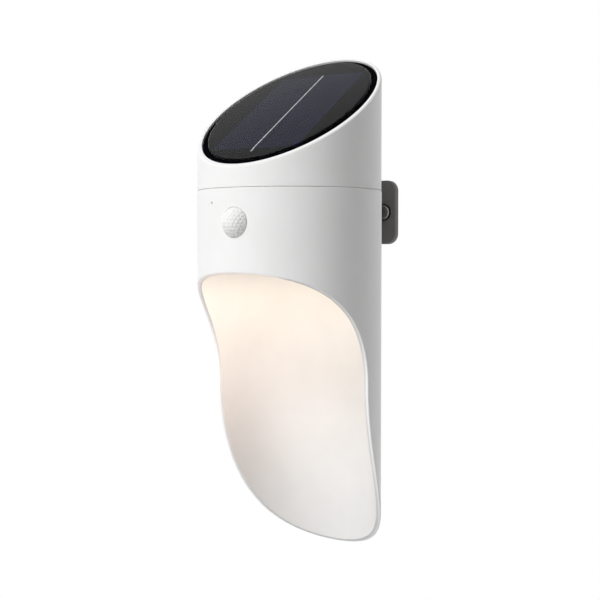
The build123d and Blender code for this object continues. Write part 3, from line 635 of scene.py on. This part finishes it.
def build_threads():
    """Wall screw threads: a ridge wound round each shank and down to its tip."""
    points = []
    faces = []
    steps = int((THREAD_END - THREAD_START) / THREAD_PITCH * THREAD_STEPS)
    for middle in (-SCREW_SIDE, SCREW_SIDE):
        first = len(points)
        for step in range(steps + 1):
            depth = THREAD_START + step * THREAD_PITCH / THREAD_STEPS
            core = SCREW_RADIUS
            if depth >= TIP_START:
                core = SCREW_RADIUS - TIP_TAPER * (depth - TIP_START) / TIP_LENGTH
            rise = (depth - THREAD_START) / THREAD_RISE
            fade = (THREAD_END - depth) / THREAD_FADE
            lift = THREAD_LIFT * min(1.0, rise, fade) + THREAD_LEAST_LIFT
            root = core - THREAD_ROOT_SINK
            angle = math.tau * step / THREAD_STEPS
            for radius, shift in ((root, -THREAD_HALF), (core + lift, 0.0), (root, THREAD_HALF)):
                side = middle + radius * math.cos(angle)
                points.append((side, depth + shift, radius * math.sin(angle)))
        for step in range(steps):
            here = first + 3 * step
            faces.append((here, here + 1, here + 4, here + 3))
            faces.append((here + 1, here + 2, here + 5, here + 4))
            faces.append((here + 2, here, here + 3, here + 5))
        last = first + 3 * steps
        faces.append((first, first + 2, first + 1))
        faces.append((last, last + 1, last + 2))
    smooth = [False] * len(faces)
    add_piece("screw_threads", points, faces, "dark_screw", "bracket", smooth)


build_lens()
build_wafer()
build_ribbon()
build_threads()


# Light: two soft suns from the front left and a weak one from behind on the right
def add_sun(name, azimuth, elevation, strength, spread):
    """Sun from this direction, with angles in degrees, that gloss and clear pieces don't show."""
    data = bpy.data.lights.new(name, "SUN")
    data.energy = strength
    data.angle = math.radians(spread)
    lamp = bpy.data.objects.new(name, data)
    scene.collection.objects.link(lamp)
    towards = aim(math.radians(azimuth), math.radians(elevation))
    lamp.rotation_euler = towards.to_track_quat("Z", "Y").to_euler()
    lamp.visible_glossy = False
    lamp.visible_transmission = False


add_sun("key", -16.0, 41.0, 2.14, 25.0)
add_sun("low", -16.0, 15.0, 0.85, 25.0)
add_sun("back", 150.0, 15.0, 0.64, 30.0)

# Light of the lamp itself, just under its window
GLOW_GAP = 0.3
glow_data = bpy.data.lights.new("scoop_glow", "AREA")
glow_data.shape = "DISK"
glow_data.size = 48.0 * MM
glow_data.energy = 0.039
glow_data.color = (1.0, 0.92, 0.75)
glow = bpy.data.objects.new("scoop_glow", glow_data)
scene.collection.objects.link(glow)
glow.location = Vector((0, AXIS_Y, LAMP_FACE - GLOW_GAP)) * MM
glow.visible_camera = False
glow.visible_glossy = False
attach(glow, "lamp")

# Warm fill panel on the right of the scoop, which lights its left side
FILL_PLACE = (28.0, AXIS_Y - 30.0, -84.0)
FILL_AZIMUTH = math.radians(-100.0)
fill_data = bpy.data.lights.new("scoop_fill", "AREA")
fill_data.shape = "RECTANGLE"
fill_data.size = 30.0 * MM
fill_data.size_y = 80.0 * MM
fill_data.energy = 0.05
fill_data.color = (1.0, 0.77, 0.69)
fill = bpy.data.objects.new("scoop_fill", fill_data)
scene.collection.objects.link(fill)
fill.location = Vector(FILL_PLACE) * MM
fill.rotation_euler = aim(FILL_AZIMUTH, 0).to_track_quat("-Z", "Y").to_euler()
fill.visible_camera = False
fill.visible_glossy = False
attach(fill, "lamp")

# World: even soft light, and white where the camera, reflections or clear pieces show it
SHOWN_RAYS = ("Is Camera Ray", "Is Glossy Ray", "Is Transmission Ray")
SOFT_LEVEL = 0.22
WHITE_LEVEL = 1.0
world = bpy.data.worlds.new("studio")
scene.world = world
world.use_nodes = True
sky = world.node_tree
sky.nodes.clear()
either = sky.nodes.new("ShaderNodeMixShader")
sky.links.new(any_ray(sky, SHOWN_RAYS), either.inputs["Fac"])
for place, level in ((1, SOFT_LEVEL), (2, WHITE_LEVEL)):
    background = sky.nodes.new("ShaderNodeBackground")
    background.inputs["Color"].default_value = (1, 1, 1, 1)
    background.inputs["Strength"].default_value = level
    sky.links.new(background.outputs["Background"], either.inputs[place])
sky_out = sky.nodes.new("ShaderNodeOutputWorld")
sky.links.new(either.outputs["Shader"], sky_out.inputs["Surface"])

# Floor: pale and matt, lifted towards white where it is seen, so that only a shadow shows on it
FLOOR_SIZE = 1.2  # metres, from the middle to each side
FLOOR_HEIGHT = -0.62  # metres
FLOOR_LIFT = 0.4
floor_material, floor_tree, floor_shader, floor_place = blank_material("floor")
floor_cloud = ramp(floor_tree, noise(floor_tree, floor_place, 60.0), 0, 1)
floor_colour = tint(floor_tree, floor_cloud, grey(0.78), grey(0.8))
floor_tree.links.new(floor_colour, floor_shader.inputs["Base Color"])
floor_shader.inputs["Roughness"].default_value = 0.9
floor_shader.inputs["Specular IOR Level"].default_value = 0.0
floor_shader.inputs["Emission Color"].default_value = (1, 1, 1, 1)
floor_lift = ramp(floor_tree, any_ray(floor_tree, SHOWN_RAYS), 0.0, FLOOR_LIFT, 0, 1)
floor_tree.links.new(floor_lift, floor_shader.inputs["Emission Strength"])
floor_mesh = bpy.data.meshes.new("floor")
floor_corners = [(-1, -1), (1, -1), (1, 1), (-1, 1)]
floor_points = [(FLOOR_SIZE * x, FLOOR_SIZE * y, FLOOR_HEIGHT) for x, y in floor_corners]
floor_mesh.from_pydata(floor_points, [], [(0, 1, 2, 3)])
floor_mesh.materials.append(floor_material)
floor = bpy.data.objects.new("floor", floor_mesh)
scene.collection.objects.link(floor)
